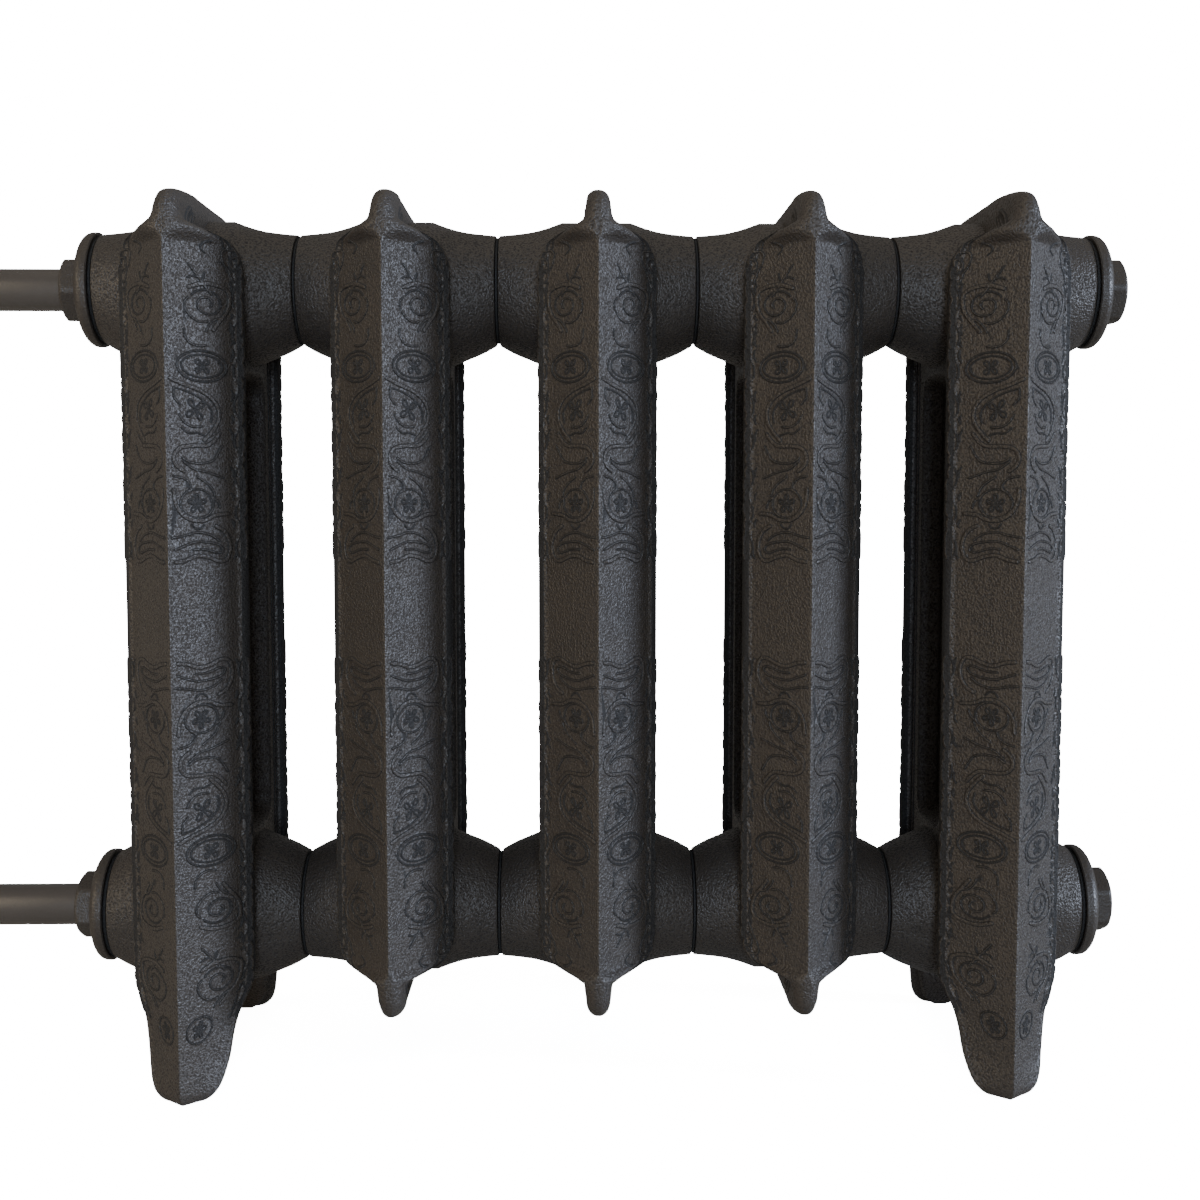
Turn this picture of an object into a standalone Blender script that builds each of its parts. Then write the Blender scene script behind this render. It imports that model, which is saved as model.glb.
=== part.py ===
"""Ornate five-section cast iron radiator with its nipples, gaskets, plugs and pipe tails.

Units are metres and +Z is up. The sections stand side by side along X, their
ridged faces look towards -Y and +Y, and Z = 0 is the plane of the feet.
Each section is modelled about its own centre, halfway between its two ports.
"""

import math

import bmesh
import bpy

# Driving dimensions
SECTION_COUNT = 5
SECTION_PITCH = 0.0943
PORT_SPACING = 0.300
PORT_HALF = PORT_SPACING / 2
FOOT_BOTTOM = 0.2250  # from the section's centre down to its soles
CREST_HEIGHT = 0.1903  # from the section's centre up to its crest
CLEARANCE = 0.0003  # left between pieces that touch

# Cross-section of a column, measured from its axis
RIDGE_DEPTH = 0.07435
CAP_HALF_WIDTH = 0.0272
END_CAP_HALF_WIDTH = 0.0280  # the end castings' caps are a little wider
LAND_HALF_WIDTH = 0.0235
CAP_DEPTH = 0.0370  # from the ridge back to the flat land on the flank
# Half-width and distance behind the ridge: the end of the flat facet, then the rounded corner
CAP_CORNER = ((0.0230, 0.02735), (0.0265, 0.0298), (0.0270, 0.0340))

# A column's outline changes with height. Each line gives the height, the cap's half-width,
# the land's half-width, the ridge's depth and the distance from the ridge back to the land.
TOP_SHOULDER = (
    (0.152, CAP_HALF_WIDTH, LAND_HALF_WIDTH, RIDGE_DEPTH, CAP_DEPTH),
    (0.1575, 0.0266, 0.0230, RIDGE_DEPTH, 0.0362),
    (0.1615, 0.0252, 0.0218, RIDGE_DEPTH, 0.0343),
    (0.165, 0.0228, 0.0196, RIDGE_DEPTH, 0.0311),
    (0.1685, 0.0158, 0.0136, 0.0741, 0.0215),
    (0.171, 0.0095, 0.0084, 0.0739, 0.0128),
    (0.1728, 0.0068, 0.0063, 0.0737, 0.0095),
)
BOTTOM_SHOULDER = (
    (-0.152, CAP_HALF_WIDTH, LAND_HALF_WIDTH, RIDGE_DEPTH, CAP_DEPTH),
    (-0.1575, 0.0266, 0.0230, RIDGE_DEPTH, 0.0362),
    (-0.1615, 0.0250, 0.0216, RIDGE_DEPTH, 0.0341),
    (-0.1645, 0.0222, 0.0191, RIDGE_DEPTH, 0.0303),
    (-0.1667, 0.0150, 0.0130, 0.0742, 0.0204),
    (-0.1682, 0.0090, 0.0080, 0.0741, 0.0122),
    (-0.1698, 0.0066, 0.0061, 0.0740, 0.0092),
)
# The thin crest above the top shoulder, repeated upside down below the bottom shoulder
CREST = (
    (0.1765, 0.0058, 0.0056, 0.0731, 0.0090),
    (0.1805, 0.0055, 0.0054, 0.0716, 0.0120),
    (0.1835, 0.0050, 0.0050, 0.0692, 0.0150),
    (0.1855, 0.0044, 0.0044, 0.0645, 0.0180),
    (0.1875, 0.0034, 0.0034, 0.0550, 0.0180),
    (0.1893, 0.0021, 0.0021, 0.0370, 0.0140),
    (CREST_HEIGHT, 0.0007, 0.0007, 0.0130, 0.0060),
)
# The legs of the end sections, from the straight part down to the soles
LEG = (
    (-0.152, END_CAP_HALF_WIDTH, LAND_HALF_WIDTH, RIDGE_DEPTH, CAP_DEPTH),
    (-0.164, END_CAP_HALF_WIDTH, LAND_HALF_WIDTH, RIDGE_DEPTH, CAP_DEPTH),
    (-0.173, 0.0276, 0.0235, RIDGE_DEPTH, 0.0365),
    (-0.178, 0.0262, 0.0230, RIDGE_DEPTH, 0.0348),
    (-0.183, 0.0240, 0.0215, RIDGE_DEPTH, 0.0320),
    (-0.190, 0.0213, 0.0188, RIDGE_DEPTH, 0.0288),
    (-0.197, 0.0198, 0.0168, RIDGE_DEPTH, 0.0260),
    (-0.206, 0.0186, 0.0154, RIDGE_DEPTH, 0.0235),
    (-0.213, 0.0171, 0.0134, RIDGE_DEPTH, 0.0190),
    (-0.2185, 0.0153, 0.0114, 0.0740, 0.0148),
    (-0.222, 0.0130, 0.0092, 0.0728, 0.0105),
    (-FOOT_BOTTOM, 0.0092, 0.0066, 0.0708, 0.0062),
)
# Side view of the open arch between front and rear legs: distance from the middle, height
ARCH = (
    (0.0630, -0.2300),
    (0.0610, -0.2250),
    (0.0540, -0.2170),
    (0.0480, -0.2090),
    (0.0450, -0.2000),
    (0.0434, -0.1930),
    (0.0410, -0.1887),
    (0.0360, -0.1862),
)

# Hubs that join the sections
HUB_SEGMENTS = 24
SEAM_GASKET_THICKNESS = 0.0010
HUB_HALF_LENGTH = SECTION_PITCH / 2 - SEAM_GASKET_THICKNESS / 2 - CLEARANCE
# Distance from the hub's face, radius on the plain side, radius on the flared side
HUB_FLARE = (
    (0.0, 0.0260, 0.0262),
    (0.007, 0.0268, 0.0300),
    (0.015, 0.0282, 0.0333),
    (0.030, 0.0310, 0.0385),
)
BORE_RADIUS = 0.0195

# Waterway: quarter outline of the hollow column, half-width and depth
DUCT_QUARTER = ((0.0, 0.0660), (0.0175, 0.0455), (0.0175, 0.0290), (0.0095, 0.0200))
DUCT_HALF_HEIGHT = PORT_HALF + 0.004

# Shallow panel sunk in each flank
PANEL_HALF_DEPTH = 0.0205
PANEL_HALF_HEIGHT = 0.106
PANEL_CORNER = 0.010
PANEL_CORNER_STEPS = 3
PANEL_FLOOR = 0.0145  # distance of the panel's floor from the section's axis
PANEL_DRAFT = 0.0025  # how far the panel's floor is smaller than its mouth
PANEL_OVERCUT = 0.006  # how far the cutter stands out past the land

# Threaded nipples and gaskets
NIPPLE_SEGMENTS = 20
NIPPLE_RADIUS = BORE_RADIUS - CLEARANCE
NIPPLE_BORE = 0.0160
NIPPLE_LENGTH = 0.044
LUG_HEIGHT = 0.0025
SEAM_GASKET_RADIUS = 0.0252
END_GASKET_RADIUS = 0.0256
END_GASKET_THICKNESS = 0.0024
GASKET_BORE = BORE_RADIUS + 2 * CLEARANCE

# Plugs and reducing bushings
FITTING_SEGMENTS = 24
FLANGE_RADIUS = 0.02715
FLANGE_THICKNESS = 0.0062
FLANGE_ROUNDING = 0.0026
THREAD_LENGTH = 0.015
HEX_ACROSS_FLATS = 0.029
HEX_HEIGHT = 0.0098
HEX_ROOT = 0.003  # how deep the hexagon starts inside the flange
HEX_ANGLES = {"left_top": 8, "left_bottom": 22, "right_top": 2, "right_bottom": 27}

# Pipe tails
PIPE_RADIUS = 0.0100
PIPE_BORE = 0.0080
PIPE_END = 0.1314  # from the end section's axis to the pipe's cut end
PIPE_START = 0.044  # from the end section's axis to the pipe's inner end

END_AXIS = SECTION_PITCH * (SECTION_COUNT - 1) / 2
FLANGE_FACE = HUB_HALF_LENGTH + END_GASKET_THICKNESS + 2 * CLEARANCE
FITTING_OUTER_FACE = FLANGE_FACE + FLANGE_THICKNESS
HEX_FACE = FITTING_OUTER_FACE + HEX_HEIGHT
# The pipes stick out on the left only, so the bounding box is centred by this shift
CENTRE_SHIFT = (PIPE_END - HEX_FACE) / 2

IRON_PAINT = (0.036, 0.031, 0.027)
DARK_IRON = (0.045, 0.042, 0.040)
GASKET_BLACK = (0.010, 0.010, 0.010)
PIPE_STEEL = (0.050, 0.043, 0.038)


def clear_objects():
    for item in list(bpy.data.objects):
        bpy.data.objects.remove(item)


def material(name, colour, roughness, metallic):
    made = bpy.data.materials.new(name)
    made.use_nodes = True
    shader = made.node_tree.nodes["Principled BSDF"]
    shader.inputs["Base Color"].default_value = (*colour, 1.0)
    shader.inputs["Roughness"].default_value = roughness
    shader.inputs["Metallic"].default_value = metallic
    return made


def add_object(name, mesh):
    made = bpy.data.objects.new(name, mesh)
    bpy.context.scene.collection.objects.link(made)
    return made


def finish_mesh(name, shape):
    """Turn a bmesh into a mesh whose faces point out."""
    bmesh.ops.recalc_face_normals(shape, faces=shape.faces)
    mesh = bpy.data.meshes.new(name)
    shape.to_mesh(mesh)
    shape.free()
    return mesh


def loft(name, rings, closed=False):
    """Join rings of equally many points, and cap the ends or close the loop."""
    shape = bmesh.new()
    loops = [[shape.verts.new(point) for point in ring] for ring in rings]
    pairs = list(zip(loops, loops[1:]))
    if closed:
        pairs.append((loops[-1], loops[0]))
    for first, second in pairs:
        for i in range(len(first)):
            j = (i + 1) % len(first)
            shape.faces.new((first[i], first[j], second[j], second[i]))
    if not closed:
        shape.faces.new(loops[0])
        shape.faces.new(loops[-1])
    return finish_mesh(name, shape)


def circle(x, radius, segments, z=0.0):
    """A circle about an axis along X."""
    turns = [2 * math.pi * i / segments for i in range(segments)]
    return [(x, radius * math.sin(turn), z + radius * math.cos(turn)) for turn in turns]


def turned(name, profile, segments, hollow):
    """Turn a profile of (x, radius) points about X. A hollow profile is a closed loop."""
    rings = [circle(x, radius, segments) for x, radius in profile]
    return loft(name, rings, closed=hollow)


def cut_or_join(target, tool, operation):
    step = target.modifiers.new(tool.name, "BOOLEAN")
    step.operation = operation
    step.solver = "EXACT"
    step.object = tool
    tool.hide_render = True
    tool.display_type = "WIRE"


def settle(target):
    """Replace an object's mesh by its mesh with the modifiers done."""
    bpy.context.view_layer.update()
    graph = bpy.context.evaluated_depsgraph_get()
    done = bpy.data.meshes.new_from_object(target.evaluated_get(graph))
    target.modifiers.clear()
    target.data = done
    return done


def smooth(mesh, angle=32):
    mesh.shade_smooth()
    mesh.set_sharp_from_angle(angle=math.radians(angle))


# ---------------------------------------------------------------- sections


def column_ring(height, cap, land, ridge, nose):
    """The column's outline at one height, running round from the front ridge."""
    widen = cap / CAP_HALF_WIDTH
    deepen = nose / CAP_DEPTH
    quarter = [(0.0, -ridge)]
    quarter += [(x * widen, -ridge + depth * deepen) for x, depth in CAP_CORNER]
    quarter.append((land, -ridge + nose))
    right = quarter + [(x, -y) for x, y in reversed(quarter)]
    left = [(-x, y) for x, y in reversed(right[1:-1])]
    return [(x, y, height) for x, y in right + left]


def column_mesh(with_legs):
    lower_crest = tuple((-height, *sizes) for height, *sizes in CREST)
    below = BOTTOM_SHOULDER + lower_crest
    shoulder = TOP_SHOULDER
    if with_legs:
        below = LEG
        widen = END_CAP_HALF_WIDTH / CAP_HALF_WIDTH
        shoulder = tuple((z, cap * widen, *sizes) for z, cap, *sizes in TOP_SHOULDER)
    stations = below[::-1] + shoulder + CREST
    return loft("column", [column_ring(*station) for station in stations])


def hub_mesh(side, flared_all_round):
    """A hub along X at the top (side 1) or bottom (side -1) port, flared towards the window."""
    stations = [(HUB_HALF_LENGTH - s, plain, flared) for s, plain, flared in HUB_FLARE]
    stations += [(-x, plain, flared) for x, plain, flared in reversed(stations)]
    rings = []
    for x, plain, flared in stations:
        ring = []
        for i in range(HUB_SEGMENTS):
            turn = 2 * math.pi * i / HUB_SEGMENTS
            towards_window = (1 - math.cos(turn)) / 2
            if flared_all_round:
                towards_window = max(towards_window, abs(math.cos(turn)))
            radius = plain + (flared - plain) * towards_window
            ring.append((x, radius * math.sin(turn), side * (PORT_HALF + radius * math.cos(turn))))
        rings.append(ring)
    return loft("hub", rings)


def panel_outline(inset):
    """Rounded rectangle of the flank panel in the YZ plane."""
    points = []
    for turn_start, y_side, z_side in ((0, 1, 1), (90, -1, 1), (180, -1, -1), (270, 1, -1)):
        for step in range(PANEL_CORNER_STEPS + 1):
            turn = math.radians(turn_start + 90 * step / PANEL_CORNER_STEPS)
            y = y_side * (PANEL_HALF_DEPTH - PANEL_CORNER) + (PANEL_CORNER - inset) * math.cos(turn)
            z = z_side * (PANEL_HALF_HEIGHT - PANEL_CORNER) + (PANEL_CORNER - inset) * math.sin(turn)
            points.append((y, z))
    return points


def panel_cutter(side):
    mouth = LAND_HALF_WIDTH + PANEL_OVERCUT
    slope = PANEL_DRAFT / (LAND_HALF_WIDTH - PANEL_FLOOR)
    floor_ring = [(side * PANEL_FLOOR, y, z) for y, z in panel_outline(PANEL_DRAFT)]
    extra = slope * PANEL_OVERCUT
    mouth_ring = [(side * mouth, y, z) for y, z in panel_outline(-extra)]
    return loft("panel", [floor_ring, mouth_ring])


def duct_cutter():
    right = [(x, -y) for x, y in DUCT_QUARTER] + [(x, y) for x, y in reversed(DUCT_QUARTER)]
    outline = right + [(-x, y) for x, y in reversed(right[1:-1])]
    heights = (-DUCT_HALF_HEIGHT, DUCT_HALF_HEIGHT)
    return loft("duct", [[(x, y, height) for x, y in outline] for height in heights])


def bore_cutter(side):
    ends = (-2 * HUB_HALF_LENGTH, 2 * HUB_HALF_LENGTH)
    return loft("bore", [circle(x, BORE_RADIUS, NIPPLE_SEGMENTS, side * PORT_HALF) for x in ends])


def arch_cutter():
    outline = list(ARCH) + [(-y, z) for y, z in reversed(ARCH)]
    ends = (-2 * CAP_HALF_WIDTH, 2 * CAP_HALF_WIDTH)
    return loft("arch", [[(x, y, z) for y, z in outline] for x in ends])


def section_mesh(name, with_legs):
    """One hollow casting, with or without legs."""
    body = add_object(name, column_mesh(with_legs))
    steps = [
        (hub_mesh(1, False), "UNION"),
        (hub_mesh(-1, with_legs), "UNION"),
        (panel_cutter(1), "DIFFERENCE"),
        (panel_cutter(-1), "DIFFERENCE"),
        (duct_cutter(), "DIFFERENCE"),
        (bore_cutter(1), "DIFFERENCE"),
        (bore_cutter(-1), "DIFFERENCE"),
    ]
    if with_legs:
        steps.append((arch_cutter(), "DIFFERENCE"))
    tools = []
    for number, (mesh, operation) in enumerate(steps):
        tool = add_object(f"{name}_tool_{number}", mesh)
        cut_or_join(body, tool, operation)
        tools.append(tool)
    mesh = settle(body)
    smooth(mesh)
    for item in tools + [body]:
        bpy.data.objects.remove(item)
    return mesh


def make_sections(place):
    end_mesh = section_mesh("end_section", True)
    middle_mesh = section_mesh("middle_section", False)
    names = ["end_section_left", "middle_section_1", "middle_section_2", "middle_section_3"]
    names.append("end_section_right")
    for number, name in enumerate(names):
        mesh = end_mesh if name.startswith("end") else middle_mesh
        if number in (0, 2):
            mesh.materials.append(material(mesh.name, IRON_PAINT, 0.45, 0.1))
        place(name, mesh, number * SECTION_PITCH - END_AXIS, 0.0)


# ---------------------------------------------------------------- joints between sections


def nipple_mesh():
    """A threaded nipple with two lugs inside for the assembly wrench."""
    rings = []
    for x in (-NIPPLE_LENGTH / 2, NIPPLE_LENGTH / 2):
        outer = circle(x, NIPPLE_RADIUS, NIPPLE_SEGMENTS)
        inner = []
        for i in range(NIPPLE_SEGMENTS):
            on_lug = i % (NIPPLE_SEGMENTS // 2) in (0, 1)
            radius = NIPPLE_BORE - (LUG_HEIGHT if on_lug else 0.0)
            turn = 2 * math.pi * i / NIPPLE_SEGMENTS
            inner.append((x, radius * math.sin(turn), radius * math.cos(turn)))
        rings.append((outer, inner))
    (outer_a, inner_a), (outer_b, inner_b) = rings
    return loft("nipple", [outer_a, outer_b, inner_b, inner_a], closed=True)


def gasket_mesh(name, thickness, radius):
    half = thickness / 2
    profile = [(-half, GASKET_BORE), (-half, radius), (half, radius), (half, GASKET_BORE)]
    return turned(name, profile, NIPPLE_SEGMENTS, hollow=True)


def make_seams(place):
    nipple = nipple_mesh()
    nipple.materials.append(material("nipple_iron", DARK_IRON, 0.6, 0.6))
    gasket = gasket_mesh("seam_gasket", SEAM_GASKET_THICKNESS, SEAM_GASKET_RADIUS)
    gasket.materials.append(material("seam_gasket", GASKET_BLACK, 0.8, 0.0))
    for mesh in (nipple, gasket):
        smooth(mesh)
    for number in range(SECTION_COUNT - 1):
        x = (number + 1 - SECTION_COUNT / 2) * SECTION_PITCH
        for level, height in (("top", PORT_HALF), ("bottom", -PORT_HALF)):
            place(f"nipple_{level}_{number + 1}", nipple, x, height)
            place(f"seam_gasket_{level}_{number + 1}", gasket, x, height)


# ---------------------------------------------------------------- end fittings


def flange_profile():
    """Solid thread and flange, from the thread's tip at -X to the flange's face at +X."""
    tip = FLANGE_FACE - THREAD_LENGTH
    centre_x = FITTING_OUTER_FACE - FLANGE_ROUNDING
    centre_radius = FLANGE_RADIUS - FLANGE_ROUNDING
    profile = [(tip, NIPPLE_RADIUS), (FLANGE_FACE, NIPPLE_RADIUS), (FLANGE_FACE, FLANGE_RADIUS)]
    for turn in (90, 60, 30, 0):
        angle = math.radians(turn)
        x = centre_x + FLANGE_ROUNDING * math.cos(angle)
        profile.append((x, centre_radius + FLANGE_ROUNDING * math.sin(angle)))
    return profile


def fitting_mesh(name, hex_angle, bored):
    """A plug, or a reducing bushing where it's bored, pointing out along +X."""
    body = add_object(name, turned(name, flange_profile(), FITTING_SEGMENTS, hollow=False))
    corner_radius = HEX_ACROSS_FLATS / math.sqrt(3)
    hexagon = []
    for x in (FITTING_OUTER_FACE - HEX_ROOT, HEX_FACE):
        turns = [math.radians(60 * i + hex_angle) for i in range(6)]
        hexagon.append([(x, corner_radius * math.sin(t), corner_radius * math.cos(t)) for t in turns])
    tools = [add_object(f"{name}_hexagon", loft("hexagon", hexagon))]
    cut_or_join(body, tools[0], "UNION")
    if bored:
        ends = (0.0, 2 * HEX_FACE)
        hole = loft("hole", [circle(x, PIPE_RADIUS + CLEARANCE, NIPPLE_SEGMENTS) for x in ends])
        tools.append(add_object(f"{name}_hole", hole))
        cut_or_join(body, tools[1], "DIFFERENCE")
    mesh = settle(body)
    smooth(mesh)
    for item in tools + [body]:
        bpy.data.objects.remove(item)
    return mesh


def make_end_fittings(place):
    gasket = gasket_mesh("end_gasket", END_GASKET_THICKNESS, END_GASKET_RADIUS)
    gasket.materials.append(material("end_gasket", GASKET_BLACK, 0.8, 0.0))
    smooth(gasket)
    gasket_offset = HUB_HALF_LENGTH + CLEARANCE + END_GASKET_THICKNESS / 2
    for side_name, side in (("left", -1), ("right", 1)):
        kind = "reducing_bushing" if side < 0 else "blank_plug"
        for level, height in (("top", PORT_HALF), ("bottom", -PORT_HALF)):
            name = f"{kind}_{level}"
            mesh = fitting_mesh(name, HEX_ANGLES[f"{side_name}_{level}"], bored=side < 0)
            mesh.materials.append(material(name, IRON_PAINT, 0.45, 0.1))
            turn = math.pi if side < 0 else 0.0
            place(name, mesh, side * END_AXIS, height, turn)
            place(f"end_gasket_{side_name}_{level}", gasket, side * (END_AXIS + gasket_offset), height)


def make_pipes(place):
    profile = [
        (-PIPE_END, PIPE_BORE),
        (-PIPE_END, PIPE_RADIUS),
        (-PIPE_START, PIPE_RADIUS),
        (-PIPE_START, PIPE_BORE),
    ]
    pipe = turned("pipe", profile, NIPPLE_SEGMENTS, hollow=True)
    pipe.materials.append(material("pipe_paint", PIPE_STEEL, 0.4, 0.3))
    smooth(pipe)
    place("supply_pipe", pipe, -END_AXIS, PORT_HALF)
    place("return_pipe", pipe, -END_AXIS, -PORT_HALF)


def main():
    clear_objects()
    base = add_object("radiator", None)
    base.location = (CENTRE_SHIFT, 0.0, FOOT_BOTTOM)

    def place(name, mesh, x, z, turn=0.0):
        piece = add_object(name, mesh)
        piece.parent = base
        piece.location = (x, 0.0, z)
        piece.rotation_euler = (0.0, 0.0, turn)

    make_sections(place)
    make_seams(place)
    make_end_fittings(place)
    make_pipes(place)


main()
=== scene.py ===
"""Looks of the ornate five-section cast iron radiator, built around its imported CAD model."""

import math

import bmesh
import bpy
import numpy as np
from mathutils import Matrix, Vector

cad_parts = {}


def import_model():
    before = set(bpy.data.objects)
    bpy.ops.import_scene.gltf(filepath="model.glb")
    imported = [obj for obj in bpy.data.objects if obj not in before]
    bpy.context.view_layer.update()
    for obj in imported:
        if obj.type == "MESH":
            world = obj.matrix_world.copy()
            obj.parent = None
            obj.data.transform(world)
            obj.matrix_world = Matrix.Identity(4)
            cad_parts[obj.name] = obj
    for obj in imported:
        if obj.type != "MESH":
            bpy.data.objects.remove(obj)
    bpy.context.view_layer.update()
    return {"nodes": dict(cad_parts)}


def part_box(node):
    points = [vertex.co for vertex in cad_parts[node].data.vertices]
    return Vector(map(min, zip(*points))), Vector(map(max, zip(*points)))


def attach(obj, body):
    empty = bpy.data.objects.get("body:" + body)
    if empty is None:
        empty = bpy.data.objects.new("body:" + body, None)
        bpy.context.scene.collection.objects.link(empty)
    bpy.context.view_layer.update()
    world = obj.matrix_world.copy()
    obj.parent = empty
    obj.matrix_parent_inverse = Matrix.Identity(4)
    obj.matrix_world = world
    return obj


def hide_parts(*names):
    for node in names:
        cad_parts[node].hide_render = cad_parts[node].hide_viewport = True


MM = 0.001

# ---------------- sizes, in millimetres

SECTION_PITCH = 94.3
PORT_HALF = 150.0
FOOT_BOTTOM = 225.0
CREST_HEIGHT = 190.3
CLEARANCE = 0.3

RIDGE_DEPTH = 74.35
CAP_HALF_WIDTH = 27.2
END_CAP_HALF_WIDTH = 28.0
LAND_HALF_WIDTH = 23.5
CAP_DEPTH = 37.0
RIDGE_EDGE = 1.6  # how far from the ridge its rounding reaches
RIDGE_SUNK = 0.35
FACET_END = (23.0, 27.35)
FACET_LENGTH = math.hypot(*FACET_END)
# Half-width and distance behind the ridge along the rounded outer edge of a cap
CAP_CORNER = (
    (25.3, 28.75),
    (26.7, 30.5),
    (27.2, 32.7),
    (26.8, 34.9),
    (25.4, 36.4),
    (LAND_HALF_WIDTH, CAP_DEPTH),
)

# Height, cap half-width, land half-width, ridge depth, distance from the ridge back to the land
TOP_SHOULDER = (
    (152, CAP_HALF_WIDTH, LAND_HALF_WIDTH, RIDGE_DEPTH, CAP_DEPTH),
    (157.5, 26.6, 23.0, RIDGE_DEPTH, 36.2),
    (161.5, 25.2, 21.8, RIDGE_DEPTH, 34.3),
    (165, 22.8, 19.6, RIDGE_DEPTH, 31.1),
    (168.5, 15.8, 13.6, 74.1, 21.5),
    (171, 9.5, 8.4, 73.9, 12.8),
    (172.8, 6.8, 6.3, 73.7, 9.5),
)
BOTTOM_SHOULDER = (
    (-152, CAP_HALF_WIDTH, LAND_HALF_WIDTH, RIDGE_DEPTH, CAP_DEPTH),
    (-157.5, 26.6, 23.0, RIDGE_DEPTH, 36.2),
    (-161.5, 25.0, 21.6, RIDGE_DEPTH, 34.1),
    (-164.5, 22.2, 19.1, RIDGE_DEPTH, 30.3),
    (-166.7, 15.0, 13.0, 74.2, 20.4),
    (-168.2, 9.0, 8.0, 74.1, 12.2),
    (-169.8, 6.6, 6.1, 74.0, 9.2),
)
CREST = (
    (176.5, 5.8, 5.6, 73.1, 9.0),
    (180.5, 5.5, 5.4, 71.6, 12.0),
    (183.5, 5.1, 5.0, 69.2, 15.0),
    (185.5, 4.8, 4.6, 64.5, 18.0),
    (187.5, 4.1, 3.9, 55.0, 18.0),
    (189.3, 2.9, 2.7, 37.0, 14.0),
    (CREST_HEIGHT, 1.0, 1.0, 13.0, 6.0),
)
NOSE_START = 162.0  # above this height the sharp ridge turns into a blunt nose
NOSE_BLEND = 9.0  # over this much height
LEG = (
    (-152, END_CAP_HALF_WIDTH, LAND_HALF_WIDTH, RIDGE_DEPTH, CAP_DEPTH),
    (-164, END_CAP_HALF_WIDTH, LAND_HALF_WIDTH, RIDGE_DEPTH, CAP_DEPTH),
    (-173, 27.6, 23.5, RIDGE_DEPTH, 36.5),
    (-178, 26.2, 23.0, RIDGE_DEPTH, 34.8),
    (-183, 24.0, 21.5, RIDGE_DEPTH, 32.0),
    (-190, 21.3, 18.8, RIDGE_DEPTH, 28.8),
    (-197, 19.8, 16.8, RIDGE_DEPTH, 26.0),
    (-206, 18.6, 15.4, RIDGE_DEPTH, 23.5),
    (-213, 17.1, 13.4, RIDGE_DEPTH, 19.0),
    (-218.5, 15.0, 11.4, 73.7, 14.6),
    (-221.8, 12.2, 9.0, 72.2, 11.0),
    (-224.0, 8.8, 6.6, 69.9, 8.2),
    (-FOOT_BOTTOM, 5.4, 4.2, 67.2, 5.4),
)
# Side view of the open arch between front and rear legs: distance from the middle, height
ARCH = (
    (63.0, -230.0),
    (61.0, -225.0),
    (54.0, -217.0),
    (48.0, -209.0),
    (45.0, -200.0),
    (43.4, -193.0),
    (41.0, -188.7),
    (36.0, -186.2),
)
ARCH_EDGE_RADIUS = 2.5
ARCH_EDGE_START = 0.7  # share of the half-width at which the arch's rounded edge starts
ARCH_EDGE_STEPS = 9
ARCH_CUTTER_REACH = 45.0
ARCH_STEP = 1.2

# Distance from the hub's face, radius on the plain side, radius on the flared side
HUB_FLARE = (
    (0.0, 26.0, 26.2),
    (7.0, 26.6, 30.0),
    (15.0, 27.6, 33.3),
    (22.0, 29.3, 36.2),
    (30.0, 32.1, 39.5),
)
SEAM_GASKET_THICKNESS = 1.0
SEAM_GASKET_RADIUS = 25.2
SEAM_GASKET_EDGE = 0.2
HUB_HALF_LENGTH = SECTION_PITCH / 2 - SEAM_GASKET_THICKNESS / 2 - CLEARANCE
HUB_EDGE_RADIUS = 0.5
HUB_EDGE_STEPS = (0.0, 0.1, 0.25, 0.5)  # distances from the hub's face
HUB_SEGMENTS = 128
BORE_RADIUS = 19.5
BORE_SEGMENTS = 64
DUCT_QUARTER = ((0.0, 66.0), (17.5, 45.5), (17.5, 29.0), (9.5, 20.0))
DUCT_HALF_HEIGHT = PORT_HALF + 4.0

PANEL_HALF_DEPTH = 24.0
PANEL_HALF_HEIGHT = 111.0
PANEL_CORNER = 12.0
PANEL_SUNK = 9.0
PANEL_WALL = 6.0  # how wide the sloping wall of the panel is
WALL_OUTER_MARGIN = 0.8  # how far past the sloping wall its close points go on
WALL_INNER_MARGIN = 1.2
NEAR_STEPS = 48  # points across a flank between cap and panel
PANEL_FLOOR_STEPS = 16

FLANGE_RADIUS = 27.15
FLANGE_THICKNESS = 6.2
FLANGE_SEGMENTS = 160
RIM_EDGE = 0.5
RIM_STRAIGHT = 1.3  # the straight part of the rim, before its rounding
RIM_DROP = 6.8  # how far the rounding comes in
THREAD_LENGTH = 15.0
THREAD_TAPER = (1.3, 1.6)  # length and depth of the thread's tapered tip
HEX_ACROSS_FLATS = 29.0
HEX_HEIGHT = 9.8
HEX_POINTS = 180
HEX_ROOT = 4.0  # how far the hexagon reaches into the flange
HEX_CHAMFER_INSET = 0.6
HEX_CHAMFER_SLOPE = 1.35
HEX_SOFTNESS = 1.1 / 3  # how gently the hexagon's faces turn into its chamfer
HEX_CORNER = 1.115  # farthest a corner stands out, as a share of a flat's distance
HEX_FACE_EDGE = (0.5, 0.35)  # length and depth of the eased edge at the end face
HOLE_COUNTERSINK = ((-0.8, CLEARANCE), (0.4, 1.5))  # from the end face, beyond the pipe's radius
END_GASKET_THICKNESS = 2.4
GASKET_SHOWN = 1.3  # how much of the end gasket's thickness shows beside the flange's rim
END_GASKET_RADIUS = 25.6
END_GASKET_EDGE = 0.3
GASKET_SEGMENTS = 128
GASKET_EDGE_STEPS = 5
PIPE_RADIUS = 10.0
PIPE_BORE = 8.0
PIPE_SEGMENTS = 96
PIPE_BORE_EDGE = 0.3
PIPE_END_EDGE = ((0.0, 0.4), (0.15, 0.15), (0.4, 0.0))  # from the cut end, in from the radius
FLANGE_FACE = HUB_HALF_LENGTH + END_GASKET_THICKNESS + 2 * CLEARANCE
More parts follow.
